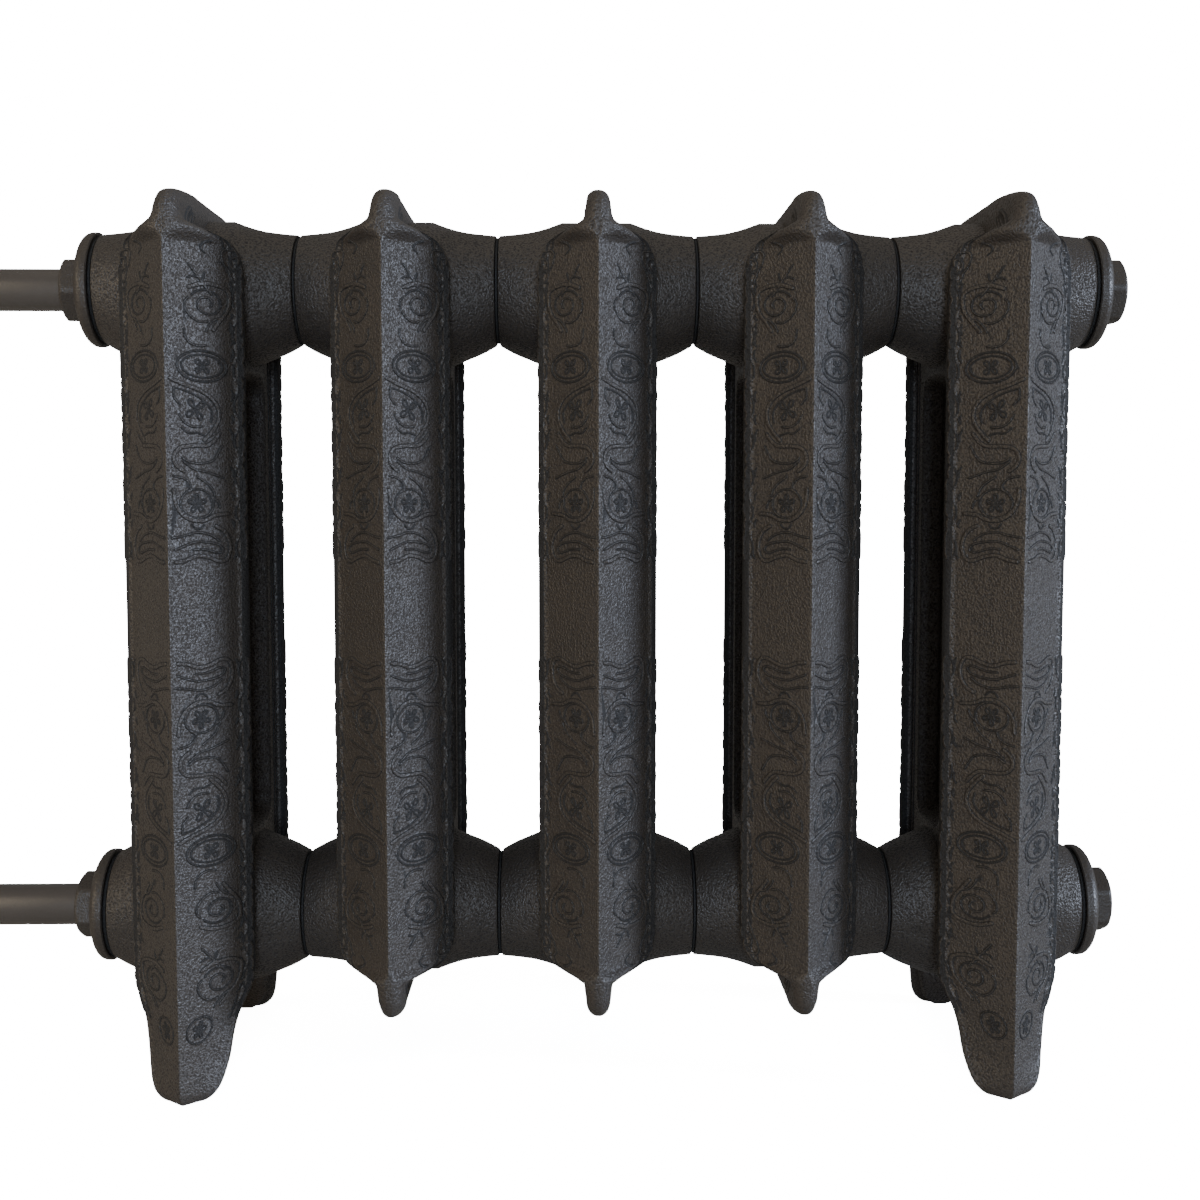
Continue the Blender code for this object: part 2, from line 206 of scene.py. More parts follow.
FITTING_OUTER_FACE = FLANGE_FACE + FLANGE_THICKNESS
HEX_FACE = FITTING_OUTER_FACE + HEX_HEIGHT
HEX_ANGLES = {"left_top": 8, "left_bottom": 22, "right_top": 2, "right_bottom": 27}  # degrees

GRID = 0.45  # spacing of the castings' surface points
SECTION_TRIANGLES = 186000
FITTED_TRIANGLES = 22000  # the part of those left for the hubs, the bores and the arch
RING_DEPTH_SHARE = 0.35  # how much a change of depth counts in the spacing of a column's rings
CASTING_SHARP_ANGLE = 42
FITTING_SHARP_ANGLE = 40
FACE_WEIGHT = 80
FAR = 1e9

# ---------------- relief on the caps
# Curves are drawn on one facet: distance from the ridge along the surface, height.
# They are mirrored about the ridge, front to rear, and top to bottom.

BAND = (1.7, 0.50)  # width and height of a flat raised band
LINE = (0.9, 0.45)
FINE = (0.7, 0.40)
EDGE_WIDTH = 0.55  # how wide the sloping side of a raised line is
GAP_REACH = 2.0  # how far from a line its distance is kept
LINES_AND_SHADE_ATTRIBUTE = "near_lines"  # the castings' attribute that tells the paint about the lines and where shade is painted
LINE_BATCH = 40  # points of a line whose distances are worked out at once
CURVE_STEP = 0.3
SPIRAL_POINTS = 60  # in one turn
OVAL_POINTS = 90
PETAL_POINTS = 40
PETAL_START = 0.8  # distance from the flower's centre
RIDGE_MARGIN = 1.2  # no relief this near to the ridge
RIDGE_FADE = 1.5
LAND_FADE = 2.0
CAP_MARGIN = 0.3

UPPER_CURVES = (
    # hooked leaf under the shoulder
    (LINE, ((38.6, 161.5), (34.6, 161.4), (31.6, 159.2), (31.8, 155.4), (34.4, 152.0), (36.2, 147.6))),
    (LINE, ((39.8, 158.6), (36.6, 158.0), (35.0, 155.2), (37.2, 152.6))),
    (FINE, ((28.6, 164.4), (24.0, 163.4), (20.6, 161.0), (22.6, 158.8))),
    # sprig
    (LINE, ((13.2, 153.2), (17.0, 149.2), (21.0, 144.8), (25.0, 140.8))),
    (FINE, ((12.4, 147.2), (15.4, 148.2), (18.0, 148.0))),
    (FINE, ((15.2, 143.2), (18.6, 144.4), (21.2, 144.6))),
    (FINE, ((21.4, 150.4), (20.8, 148.0), (19.2, 146.8))),
    # teardrop cartouche
    (BAND, ((13.0, 143.2), (20.0, 145.4), (28.0, 145.2), (33.6, 143.0), (34.4, 138.6), (32.4, 133.4),
            (28.6, 129.2), (25.4, 125.4))),
    (LINE, ((12.6, 138.6), (10.8, 136.6), (11.4, 133.2), (14.6, 130.0), (19.0, 128.4), (22.4, 129.0))),
    (LINE, ((30.4, 131.0), (26.4, 130.0), (23.4, 127.4), (21.6, 124.6))),
    # crescent
    (LINE, ((10.4, 124.8), (10.8, 121.4), (13.4, 118.8), (17.4, 117.9), (21.4, 118.4))),
    # shield
    (BAND, ((2.6, 103.0), (9.0, 100.8), (17.4, 98.4), (24.0, 95.0), (27.4, 90.4), (27.2, 85.0),
            (23.6, 80.0), (19.6, 76.4))),
    (FINE, ((4.2, 99.0), (11.0, 97.6), (17.4, 95.2), (22.0, 92.0), (24.2, 88.4), (23.4, 84.4))),
    (LINE, ((4.4, 98.6), (4.6, 94.8), (7.4, 91.8))),
    (LINE, ((7.0, 87.4), (9.4, 84.2), (13.6, 82.2), (18.4, 82.4))),
    (FINE, ((8.0, 81.6), (11.6, 79.4), (15.8, 79.6), (19.4, 78.6))),
    # scroll
    (BAND, ((27.8, 79.6), (24.4, 76.0), (20.6, 74.0), (14.0, 73.8), (7.8, 73.0), (4.4, 70.4),
            (3.9, 67.2), (5.6, 64.6), (8.8, 62.6))),
    (LINE, ((8.2, 68.4), (12.6, 66.4), (19.0, 66.2), (24.2, 67.6), (27.0, 71.0), (29.0, 74.0))),
    (LINE, ((8.6, 66.8), (14.0, 63.6), (21.0, 62.2), (29.6, 59.6))),
    # hooks
    (LINE, ((3.4, 60.4), (8.0, 59.6), (11.4, 57.6), (12.2, 54.8), (9.8, 53.4))),
    (LINE, ((15.6, 60.2), (19.8, 57.8), (23.2, 55.0), (24.8, 51.6))),
    # cup around the round medallion
    (BAND, ((3.4, 54.4), (4.2, 48.6), (7.6, 43.6), (13.2, 40.8), (19.2, 40.8), (25.0, 43.0),
            (31.6, 43.6))),
    (LINE, ((22.8, 51.4), (26.4, 49.0), (27.4, 46.2))),
    (FINE, ((12.4, 39.0), (14.2, 37.2), (17.0, 37.2), (18.8, 38.8))),
    # ribbon
    (LINE, ((2.0, 33.2), (8.0, 34.0), (15.4, 35.4), (22.4, 34.0), (26.6, 31.4))),
    (BAND, ((25.0, 38.0), (29.0, 36.0), (31.8, 32.0), (32.4, 27.4), (30.6, 23.2), (26.6, 22.2),
            (20.6, 24.2), (14.6, 25.0), (9.0, 23.2), (3.8, 22.4))),
    (LINE, ((3.4, 27.8), (8.4, 29.6), (14.2, 31.2), (21.4, 30.8), (26.8, 29.4), (28.6, 27.0),
            (25.8, 26.0), (18.4, 27.8), (12.8, 27.8))),
)
SPRIG_START = 146.5  # on the legs, the curves above this height give way to the leg's own
SPIRALS = (((22.4, 136.6), 9.2, 2.2, 0.72, 1.55, 150),)  # centre, radii, squash, turns, start
OVALS = (  # weight, centre, half-length across, half-height
    (LINE, (19.3, 109.0), 13.0, 6.8),
    (FINE, (19.3, 109.0), 10.8, 5.0),
    (LINE, (15.4, 48.2), 8.6, 6.4),
)
FLOWERS = (  # centre, petals, petal length, petal width, turn, squash
    ((19.3, 109.0), 4, 4.4, 2.9, 45, 0.85),
    ((15.4, 89.8), 4, 5.4, 3.1, 35, 0.95),
    ((15.4, 48.2), 5, 4.7, 2.6, 18, 0.9),
)
LEG_FLOWER = ((14.6, -190.4), 5, 4.6, 2.6, 10, 0.85)
LEG_OVAL = (LINE, (14.6, -190.4), 8.8, 5.8)
LEG_SPRIG_SHIFT = -306.4  # the legs carry a second sprig and teardrop, moved down by this much
LEG_SPRIG_SPAN = (124.0, 154.0)  # the curves between these heights
WAVE_LINE = 36.6  # where the wavy line along the cap's corner runs
WAVE_SWING = 0.9
WAVE_LENGTH = 16.0
WAVE_STEP = 0.4
WAVE_TRIM = 2  # points left out at each end of a piece of the wavy line
# Leaves along the cap's edge, each with drawn sizes between two limits
EDGE_SEED = 7
LEAF_START = 2.0  # from the relief's low end
LEAF_STOP = 3.0  # from its high end
LEAF_HALF_LENGTH = (1.2, 3.4)
LEAF_LEAN = (-1.2, 1.2)
LEAF_PLACE = (38.8, 40.4)  # distance from the ridge
LEAF_BOW = 0.9
LEAF_SPACE = (0.8, 2.4)
STROKE_CHANCE = 0.6  # of a fine stroke beside a leaf
STROKE_PLACES = (34.6, 35.4, 34.4)
STROKE_RISE = 0.8  # as a share of the leaf's half-length
# Lines on the flanks: distance from the middle plane, height. The leaves are mirrored downwards.
FLANK_RIBS = (
    ((36.2, 131.0), (36.2, -131.0)),
    ((30.6, 131.0), (30.6, -131.0)),
)
CREST_LEAVES = (
    ((59.0, 171.0), (55.5, 174.5), (51.5, 177.8), (46.0, 180.4)),
    ((56.4, 170.6), (51.0, 173.4), (45.5, 177.0)),
    ((50.5, 171.4), (45.0, 174.0), (40.5, 178.4)),
)
FLANK_WIDTH = 1.3
FLANK_HEIGHT = 0.6
CREST_LEAVES_LOW = 165.0  # they are all above this height
CREST_LEAF_PAINTED_SHADOW = 1.3  # the ground this near to them is painted black as their shadow
RELIEF_LOW = 21.0
RELIEF_HIGH = 167.0
LEG_RELIEF_HIGH = 190.0  # how far below the middle the relief on the legs goes
CORNER_PAINTED_SHADE = 37.4  # beyond this distance from the ridge the ground between the leaves is painted black shade


def through(points, step=CURVE_STEP):
    """Points along a smooth curve through the given ones."""
    points = np.array(points, float)
    padded = np.vstack([2 * points[0] - points[1], points, 2 * points[-1] - points[-2]])
    line = []
    for a, b, c, d in zip(padded, padded[1:], padded[2:], padded[3:]):
        count = max(2, int(np.hypot(*(c - b)) / step))
        t = np.linspace(0, 1, count, endpoint=False)[:, None]
        cubic = (2 * b) + (c - a) * t + (2 * a - 5 * b + 4 * c - d) * t**2
        line.append((cubic + (3 * b - a - 3 * c + d) * t**3) / 2)
    return np.vstack(line + [points[-1:]])


def spiral(centre, outer, inner, squash, turns, start):
    turn = np.linspace(0, 2 * math.pi * turns, int(SPIRAL_POINTS * turns))
    radius = outer + (inner - outer) * turn / turn[-1]
    angle = math.radians(start) - turn
    across = centre[0] + radius * np.cos(angle)
    return np.stack([across, centre[1] + squash * radius * np.sin(angle)], -1)


def oval(centre, across, up):
    turn = np.linspace(0, 2 * math.pi, OVAL_POINTS)
    return np.stack([centre[0] + across * np.cos(turn), centre[1] + up * np.sin(turn)], -1)


def petal(centre, length, width, angle, squash):
    """Outline of a petal that starts near the flower's centre."""
    t = np.linspace(0, 2 * math.pi, PETAL_POINTS)
    along = PETAL_START + (length - PETAL_START) * (1 - np.cos(t)) / 2
    out = width / 2 * np.sin(t) * np.sqrt((1 - np.cos(t)) / 2)
    across = centre[0] + along * math.cos(angle) - out * math.sin(angle)
    up = centre[1] + squash * (along * math.sin(angle) + out * math.cos(angle))
    return np.stack([across, up], -1)


def flower(centre, count, length, width, turn, squash):
    angles = [math.radians(turn + 360 * i / count) for i in range(count)]
    return [petal(centre, length, width, angle, squash) for angle in angles]


def raise_line(relief, gaps, across, heights, line, weight):
    """Add a raised line to the relief and to the distances from the edges of all lines."""
    width, height = weight
    reach = width / 2 + GAP_REACH
    low, high = line.min(0) - reach, line.max(0) + reach
    columns = np.nonzero((across >= low[0]) & (across <= high[0]))[0]
    rows = np.nonzero((heights >= low[1]) & (heights <= high[1]))[0]
    if not len(columns) or not len(rows):
        return
    u = across[columns][None, :, None]
    z = heights[rows][:, None, None]
    nearest = np.full((len(rows), len(columns)), FAR)
    for part in np.array_split(line, max(1, len(line) // LINE_BATCH)):
        gap = (u - part[:, 0]) ** 2 + (z - part[:, 1]) ** 2
        nearest = np.minimum(nearest, gap.min(-1))
    gap = np.sqrt(nearest) - width / 2
    rise = height * rounded_rise(gap)
    block = (slice(rows[0], rows[-1] + 1), slice(columns[0], columns[-1] + 1))
    relief[block] = np.maximum(relief[block], rise)
    gaps[block] = np.minimum(gaps[block], gap)


def band_lines():
    """Every raised line of the upper ornament."""
    lines = [(weight, through(points)) for weight, points in UPPER_CURVES]
    lines += [(LINE, spiral(*sizes)) for sizes in SPIRALS]
    lines += [(weight, oval(*sizes)) for weight, *sizes in OVALS]
    for sizes in FLOWERS:
        lines += [(FINE, line) for line in flower(*sizes)]
    return lines


def edge_lines(top):
    """The wavy line and small uneven leaves along a cap's outer edge."""
    dice = np.random.default_rng(EDGE_SEED)
    heights = np.arange(RELIEF_LOW, top, WAVE_STEP)
    wave = WAVE_LINE + WAVE_SWING * np.sin(2 * math.pi * heights / WAVE_LENGTH)
    pieces = np.array_split(np.stack([wave, heights], -1), int((top - RELIEF_LOW) / WAVE_LENGTH))
    lines = [(FINE, piece[WAVE_TRIM:-WAVE_TRIM]) for piece in pieces]
    z = RELIEF_LOW + LEAF_START
    while z < top - LEAF_STOP:
        half = dice.uniform(*LEAF_HALF_LENGTH)
        z += half
        lean = dice.uniform(*LEAF_LEAN)
        u = dice.uniform(*LEAF_PLACE)
        leaf = ((u - lean / 2, z - half), (u + LEAF_BOW, z), (u + lean / 2, z + half))
        lines.append((BAND, through(leaf)))
        if dice.uniform() < STROKE_CHANCE:
            low, middle, high = STROKE_PLACES
            stroke = ((low, z - half), (middle + lean / 2, z), (high + lean, z + half * STROKE_RISE))
            lines.append((FINE, through(stroke)))
        z += half + dice.uniform(*LEAF_SPACE)
    return lines


def ornament_lines(with_legs):
    """Every raised line of a casting's facet, above and below the middle."""
    upper = band_lines()
    lines = upper + edge_lines(RELIEF_HIGH)
    for weight, line in upper:
        if not with_legs or line[:, 1].max() < SPRIG_START:
            lines.append((weight, line * (1, -1)))
    bottom = LEG_RELIEF_HIGH if with_legs else RELIEF_HIGH
    lines += [(weight, line * (1, -1)) for weight, line in edge_lines(bottom)]
    if with_legs:
        low, high = LEG_SPRIG_SPAN
        for weight, line in upper:
            if line[:, 1].min() > low and line[:, 1].max() < high:
                lines.append((weight, line + (0, LEG_SPRIG_SHIFT)))
        weight, *sizes = LEG_OVAL
        lines.append((weight, oval(*sizes)))
        lines += [(FINE, line) for line in flower(*LEG_FLOWER)]
    return lines


def make_relief(across, heights, with_legs):
    """Height of the relief, and distance from the nearest line's edge, over a facet's grid."""
    relief = np.zeros((len(heights), len(across)))
    gaps = np.full(relief.shape, GAP_REACH)
    for weight, line in ornament_lines(with_legs):
        raise_line(relief, gaps, across, heights, line, weight)
    return relief, gaps


# ---------------- mesh helpers


def eased(t):
    """Turns a straight change from 0 to 1 into one with soft ends."""
    return t * t * (3 - 2 * t)


def smooth_table(knots, values, at):
    """Smooth, without overshoot, through rows of values at increasing knots."""
    knots = np.asarray(knots, float)
    values = np.asarray(values, float)
    step = np.diff(knots)[:, None]
    slope = np.diff(values, axis=0) / step
    product = slope[:-1] * slope[1:]
    total = slope[:-1] + slope[1:]
    inner = np.where(product > 0, 2 * product / np.where(total == 0, 1, total), 0)
    tangent = np.vstack([slope[:1], inner, slope[-1:]])
    index = np.clip(np.searchsorted(knots, at, side="right") - 1, 0, len(knots) - 2)
    width = step[index]
    t = (np.asarray(at)[:, None] - knots[index][:, None]) / width
    a, b = values[index], values[index + 1]
    ta, tb = tangent[index] * width, tangent[index + 1] * width
    return (
        a * (2 * t**3 - 3 * t**2 + 1)
        + ta * (t**3 - 2 * t**2 + t)
        + b * (3 * t**2 - 2 * t**3)
        + tb * (t**3 - t**2)
    )


def grid_mesh(name, points, close_ends=True):
    """A solid from an array of rings, each a closed loop, in millimetres.

    The end rings are closed by flat faces, or else joined to each other."""
    rings, count, _ = points.shape
    index = np.arange(rings * count).reshape(rings, count)
    a = index[:-1]
    b = np.roll(index, -1, 1)[:-1]
    c = np.roll(index, -1, 1)[1:]
    d = index[1:]
    faces = np.stack([a, b, c, d], -1).reshape(-1, 4).tolist()
    if close_ends:
        faces.append(index[0][::-1].tolist())
        faces.append(index[-1].tolist())
    else:
        last, first = index[-1], index[0]
        faces += np.stack([last, np.roll(last, -1), np.roll(first, -1), first], -1).tolist()
    mesh = bpy.data.meshes.new(name)
    mesh.from_pydata((points.reshape(-1, 3) * MM).tolist(), [], faces)
    mesh.update()
    shape = bmesh.new()
    shape.from_mesh(mesh)
    if shape.calc_volume(signed=True) < 0:
        bmesh.ops.reverse_faces(shape, faces=shape.faces)
    shape.to_mesh(mesh)
    shape.free()
    return mesh


def add_object(name, mesh):
    made = bpy.data.objects.new(name, mesh)
    bpy.context.scene.collection.objects.link(made)
    return made


def settle(target):
    """Replace the object's mesh by its mesh with the modifiers done."""
    bpy.context.view_layer.update()
    graph = bpy.context.evaluated_depsgraph_get()
    done = bpy.data.meshes.new_from_object(target.evaluated_get(graph))
    done.materials.clear()
    target.modifiers.clear()
    target.data = done


def thinned(target, triangles):
    """Leave about this many triangles, the most where the surface has detail."""
    mesh = target.data
    now = len(mesh.loops) - 2 * len(mesh.polygons)
    if now > triangles:
        step = target.modifiers.new("thin", "DECIMATE")
        step.ratio = triangles / now
        settle(target)


def combine(target, steps):
    """Boolean steps, each a mesh and an operation. All meshes are closed."""
    tools = []
    for mesh, operation in steps:
        tool = add_object(mesh.name, mesh)
        step = target.modifiers.new(mesh.name, "BOOLEAN")
        step.operation = operation
        step.solver = "MANIFOLD"
        step.object = tool
        tools.append(tool)
    settle(target)
    for tool in tools:
        bpy.data.objects.remove(tool)


def smooth(mesh, sharp_angle):
    mesh.shade_smooth()
    mesh.set_sharp_from_angle(angle=math.radians(sharp_angle))


def circle(x, radius, segments, z=0.0):
    turn = 2 * math.pi * np.arange(segments) / segments
    return np.stack([np.full(segments, x), radius * np.sin(turn), z + radius * np.cos(turn)], -1)


def turned(name, profile, segments, hollow=False):
    """A profile of (x, radius) points turned about the X axis."""
    rings = np.array([circle(x, radius, segments) for x, radius in profile])
    return grid_mesh(name, rings, close_ends=not hollow)


# ---------------- castings


def stations(with_legs):
    below = BOTTOM_SHOULDER + tuple((-height, *sizes) for height, *sizes in CREST)
    shoulder = TOP_SHOULDER
    if with_legs:
        below = LEG
        widen = END_CAP_HALF_WIDTH / CAP_HALF_WIDTH
        shoulder = tuple((z, cap * widen, *sizes) for z, cap, *sizes in TOP_SHOULDER)
    return np.array(below[::-1] + shoulder + CREST, float)


def cap_profile():
    """Quarter outline from ridge to land: across, behind the ridge, and length along it."""
    facet = np.linspace((0, 0), FACET_END, int(FACET_LENGTH / GRID) + 1)
    near_ridge = np.hypot(*facet.T) / RIDGE_EDGE
    facet[:, 1] += RIDGE_SUNK * np.clip(1 - near_ridge, 0, 1) ** 2
    corner = through((FACET_END,) + CAP_CORNER, GRID)
    line = np.vstack([facet, corner[1:]])
    length = np.concatenate([[0], np.cumsum(np.hypot(*np.diff(line, axis=0).T))])
    return line[:, 0], line[:, 1], length


def flank_positions():
    """Distances from the middle plane along a flank, from the cap to the middle."""
    near = np.linspace(0, 1, NEAR_STEPS + 1)[1:]
    outer = PANEL_HALF_DEPTH + WALL_OUTER_MARGIN
    inner = PANEL_HALF_DEPTH - PANEL_WALL - WALL_INNER_MARGIN
    wall = np.arange(outer, inner, -GRID)
    floor_part = np.linspace(wall[-1], 0, PANEL_FLOOR_STEPS)[1:]
    return near, wall, floor_part


def panel_depth(y, z):
    """How deep the flank's panel is sunk at these places."""
    dy = np.abs(y) - (PANEL_HALF_DEPTH - PANEL_CORNER)
    dz = np.abs(z) - (PANEL_HALF_HEIGHT - PANEL_CORNER)
    outside = np.hypot(np.maximum(dy, 0), np.maximum(dz, 0))
    gap = outside + np.minimum(np.maximum(dy, dz), 0) - PANEL_CORNER
    return PANEL_SUNK * eased(np.clip(-gap / PANEL_WALL, 0, 1))


def column_points(with_legs):
    """All points of a casting's column, ring by ring from the bottom up, and where its lines are."""
    table = stations(with_legs)
    moves = np.diff(table, axis=0)
    lengths = np.concatenate([[0], np.cumsum(np.hypot(moves[:, 0], RING_DEPTH_SHARE * moves[:, 3]))])
    at = np.linspace(0, lengths[-1], int(lengths[-1] / GRID))
    heights, cap, land, ridge, nose = smooth_table(lengths, table, at).T[:, :, None]

    across, behind, length = cap_profile()
    widest = np.argmax(across)
    blunt = np.clip((np.abs(heights) - NOSE_START) / NOSE_BLEND, 0, 1)
    blunt = np.where((heights < 0) & with_legs, 0, eased(blunt))
    forward = np.clip(behind / behind[widest], 0, 1)
    bowed = across[widest] * np.sqrt(1 - (1 - forward) ** 2)
    across_rows = across[None, :] + blunt * (np.maximum(bowed, across) - across)[None, :]
    x = across_rows * cap / CAP_HALF_WIDTH
    shrink = (cap - land) / (CAP_HALF_WIDTH - LAND_HALF_WIDTH)
    x[:, widest:] = (land + (across[None, :] - LAND_HALF_WIDTH) * shrink)[:, widest:]
    y = -ridge + behind[None, :] * nose / CAP_DEPTH

    dx = np.gradient(x, axis=1)
    dy = np.gradient(y, axis=1)
    size = np.hypot(dx, dy)
    normal_x, normal_y = dy / size, -dx / size
    relief, gaps = make_relief(length, heights[:, 0], with_legs)
    from_ridge = np.clip((length - RIDGE_MARGIN) / RIDGE_FADE, 0, 1)
    from_land = np.clip((length[-1] - length) / LAND_FADE, 0, 1)
    relief = relief * (from_ridge * from_land)[None, :]
    x = x + relief * normal_x
    y = y + relief * normal_y

    near, wall, floor_part = flank_positions()
    start = -ridge + nose
    first = PANEL_HALF_DEPTH + WALL_OUTER_MARGIN + GRID
    reach = np.minimum(-start, first)
    flank_parts = [
        start + (-reach - start) * near[None, :],
        -reach * wall[None, :] / first,
        -reach * floor_part[None, :] / first,
    ]
    flank_y = np.concatenate(flank_parts, axis=1)
    gap = flank_gap(flank_y, np.broadcast_to(heights, flank_y.shape))
    flank_x = land - panel_depth(flank_y, heights) + FLANK_HEIGHT * rounded_rise(gap)
    x = np.concatenate([x, flank_x], axis=1)
    y = np.concatenate([y, flank_y], axis=1)
    z = np.broadcast_to(heights, x.shape)
    quarter = np.stack([x, y, z], -1)
    right = np.concatenate([quarter, (quarter * (1, -1, 1))[:, -2::-1]], axis=1)
    left = (right * (-1, 1, 1))[:, -2:0:-1]
    field = {"heights": heights[:, 0], "cap": cap[:, 0], "ridge": ridge[:, 0], "nose": nose[:, 0],
             "length": length, "behind": behind, "gaps": gaps}
    return np.concatenate([right, left], axis=1), field


def rounded_rise(gap):
    """Share of a raised line's height at these distances from its edge."""
    return eased(np.clip((EDGE_WIDTH / 2 - gap) / EDGE_WIDTH, 0, 1))


def flank_gap(y, z):
    """Distance from the edge of the nearest raised line on a flank, at many places."""
    y = np.abs(y)
    nearest = np.full(y.shape, FAR)
    lines = [np.array(points) for points in FLANK_RIBS + CREST_LEAVES]
    lines += [np.array(points) * (1, -1) for points in CREST_LEAVES]
    for line in lines:
        for start, end in zip(line, line[1:]):
            step = end - start
            along = ((y - start[0]) * step[0] + (z - start[1]) * step[1]) / (step @ step)
            along = np.clip(along, 0, 1)
            far = np.hypot(y - start[0] - along * step[0], z - start[1] - along * step[1])
            nearest = np.minimum(nearest, far)
    return nearest - FLANK_WIDTH / 2


def grid_value(grid, row, column):
    """The grid's values at places between its rows and columns."""
    row_low = np.minimum(row.astype(int), grid.shape[0] - 2)
    column_low = np.minimum(column.astype(int), grid.shape[1] - 2)
    down, over = row - row_low, column - column_low
    return (
        grid[row_low, column_low] * (1 - down) * (1 - over)
        + grid[row_low + 1, column_low] * down * (1 - over)
        + grid[row_low, column_low + 1] * (1 - down) * over
        + grid[row_low + 1, column_low + 1] * down * over
    )


def mark_lines_and_painted_shade(mesh, field, with_legs):
    """Store on every point how near it is to the edge of a raised line, and where shade is painted black,
    for the paint.
    """
    places = np.empty(len(mesh.vertices) * 3)
    mesh.vertices.foreach_get("co", places)
    x, y, z = places.reshape(-1, 3).T / MM
    x, y = np.abs(x), np.abs(y)
    heights, length = field["heights"], field["length"]
    cap, ridge, nose = (np.interp(z, heights, field[key]) for key in ("cap", "ridge", "nose"))
    across = x * CAP_HALF_WIDTH / cap
    behind = (ridge - y) * CAP_DEPTH / nose
    along = (across * FACET_END[0] + behind * FACET_END[1]) / FACET_LENGTH
    round_corner = np.interp(behind, field["behind"], length)
    along = np.where(along < FACET_LENGTH, along, np.maximum(round_corner, FACET_LENGTH))
    row = np.interp(z, heights, np.arange(len(heights)))
    column = np.interp(along, length, np.arange(len(length)))
    gap = grid_value(field["gaps"], row, column)
    bottom = LEG_RELIEF_HIGH if with_legs else RELIEF_HIGH
    # painted shade: the ground between the leaves at the cap's outer corner is painted black, standing in
    # for the shade there
    painted_corner_shade = (along > CORNER_PAINTED_SHADE) & (np.abs(z) > RELIEF_LOW) & (z > -bottom) & (z < RELIEF_HIGH)
    gap = np.where(painted_corner_shade & (gap > 0), 0, gap)
    on_cap = (behind < CAP_DEPTH - CAP_MARGIN) & (behind > 0)
    beside = flank_gap(y, z)
    # painted shadow: a black halo on the flank around the crest leaves
    painted_leaf_shadow = (np.abs(z) > CREST_LEAVES_LOW) & (beside > 0) & (beside < CREST_LEAF_PAINTED_SHADOW)
    beside = np.where(painted_leaf_shadow, 0, beside)
    on_flank = (behind > CAP_DEPTH) & (beside < GAP_REACH) & (y > PANEL_HALF_DEPTH)
    nearness = np.where(on_cap, GAP_REACH - gap, np.where(on_flank, GAP_REACH - beside, 0.0))
    mesh.attributes.new(LINES_AND_SHADE_ATTRIBUTE, "FLOAT", "POINT").data.foreach_set("value", nearness)


def hub_mesh(side, all_round):
    """A hub along X at the top (side 1) or bottom (side -1) port, flared towards the window.

    With all_round, it flares away from the window too."""
    half = np.concatenate([HUB_EDGE_STEPS, np.linspace(1.0, HUB_FLARE[-1][0], 40)])
    sizes = smooth_table([row[0] for row in HUB_FLARE], [row[1:] for row in HUB_FLARE], half)
    bevel = HUB_EDGE_RADIUS - np.sqrt(
        np.maximum(HUB_EDGE_RADIUS**2 - np.maximum(HUB_EDGE_RADIUS - half, 0) ** 2, 0)
    )
    turn = 2 * math.pi * np.arange(HUB_SEGMENTS) / HUB_SEGMENTS
    towards = (1 - np.cos(turn)) / 2
    if all_round:
        towards = np.maximum(towards, np.abs(np.cos(turn)))
    radius = sizes[:, :1] + (sizes[:, 1:] - sizes[:, :1]) * towards[None, :] - bevel[:, None]
    x = np.broadcast_to((HUB_HALF_LENGTH - half)[:, None], radius.shape)
    y = radius * np.sin(turn)
    z = side * (PORT_HALF + radius * np.cos(turn))
    rings = np.stack([x, y, z], -1)
    rings = np.concatenate([rings, (rings * (-1, 1, 1))[::-1]])
    return grid_mesh("hub", rings)


def duct_mesh():
    right = [(x, -y) for x, y in DUCT_QUARTER] + [(x, y) for x, y in reversed(DUCT_QUARTER)]
    outline = right + [(-x, y) for x, y in reversed(right[1:-1])]
    ends = (-DUCT_HALF_HEIGHT, DUCT_HALF_HEIGHT)
    return grid_mesh("duct", np.array([[(x, y, z) for x, y in outline] for z in ends], float))


def bore_mesh(side):
    ends = (-2 * HUB_HALF_LENGTH, 2 * HUB_HALF_LENGTH)
    rings = [circle(x, BORE_RADIUS, BORE_SEGMENTS, side * PORT_HALF) for x in ends]
    return grid_mesh("bore", np.array(rings))


def arch_mesh():
    """Cutter for the open arch, flared at both faces so that it leaves rounded edges."""
    half = through(ARCH, ARCH_STEP)
    outline = np.vstack([half, (half * (-1, 1))[::-1]])
    ahead = np.roll(outline, -1, 0) - np.roll(outline, 1, 0)
    normal = np.stack([ahead[:, 1], -ahead[:, 0]], -1)
    normal /= np.hypot(*normal.T)[:, None]
    if normal[len(half) - 1, 1] < 0:
        normal = -normal
    leg = np.array(LEG[::-1], float)
    land = np.interp(outline[:, 1], leg[:, 0], leg[:, 2])
    edge = ARCH_EDGE_RADIUS
    beyond = np.full(len(land), ARCH_CUTTER_REACH)
    near = [t * land for t in np.linspace(ARCH_EDGE_START, 1, ARCH_EDGE_STEPS)]
    rings = []
    for x in [-beyond] + [-x for x in near[::-1]] + near + [beyond]:
        over = np.clip(np.abs(x) - (land - edge), 0, edge)
        grow = edge - np.sqrt(np.maximum(edge**2 - over**2, 0))
        place = outline + normal * grow[:, None]
        rings.append(np.column_stack([x, place[:, 0], place[:, 1]]))
    return grid_mesh("arch", np.array(rings))


